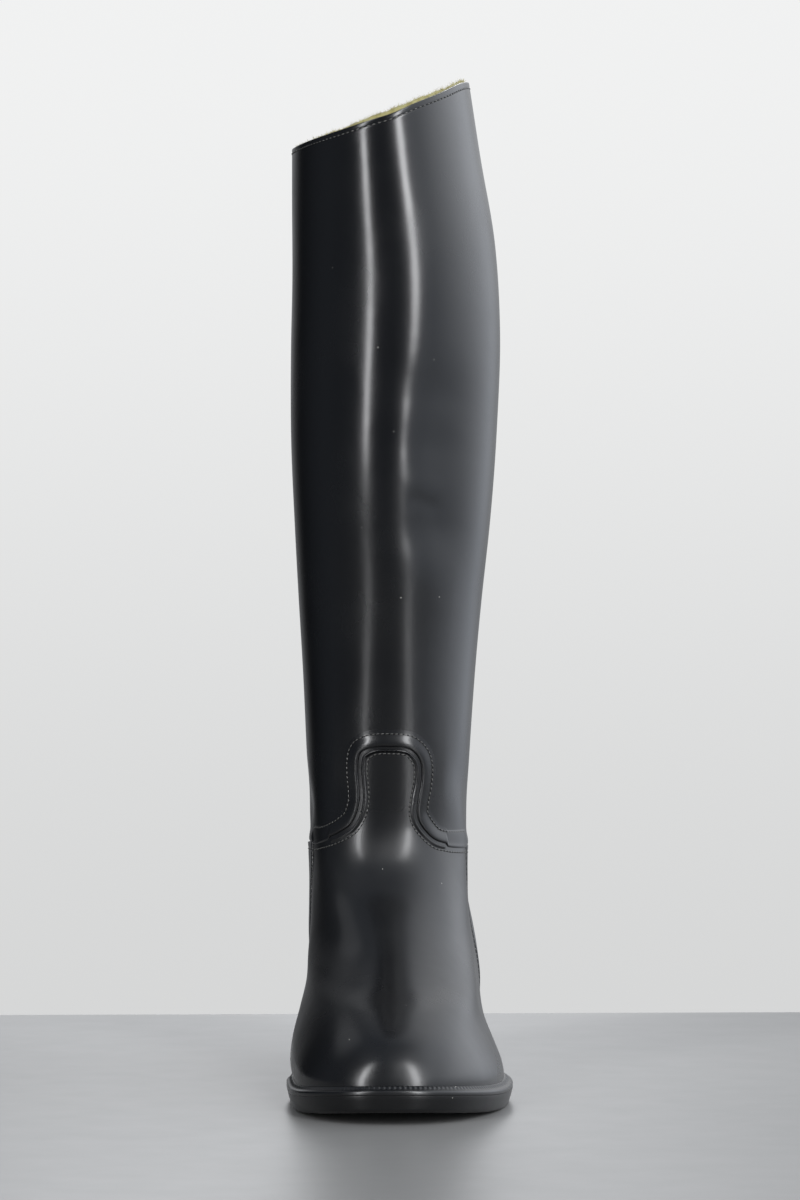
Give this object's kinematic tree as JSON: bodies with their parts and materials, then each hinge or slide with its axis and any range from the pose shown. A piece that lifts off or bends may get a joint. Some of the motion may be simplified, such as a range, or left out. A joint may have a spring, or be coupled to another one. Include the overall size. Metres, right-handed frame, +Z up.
{
  "type": "rubber riding boot",
  "caption": "Tall moulded rubber riding boot for the left foot: slanted collar, hollow shaft and foot, raised ankle hem over a tongue-shaped vamp, heel counter, welt and low heel.",
  "frame": {"origin": "centre of the boot's box, on the floor that the sole and heel stand on", "axes": "+Z up the shaft, toe towards -Y, heel towards +Y, outer (lateral) side towards +X"},
  "size_m": [0.1012, 0.2821, 0.4691],
  "materials": {
    "upper": "semi-gloss moulded black rubber",
    "sole": "satin black rubber",
    "trim": "semi-gloss moulded black rubber",
    "insole": "yellow-olive cotton"
  },
  "bodies": {
    "root": {"upper": "upper", "outsole": "sole", "heel": "sole", "welt": "trim", "insole": "insole", "heel_counter": "trim", "ankle_hem": "trim", "tongue_piping": "trim"}
  },
  "joints": []
}
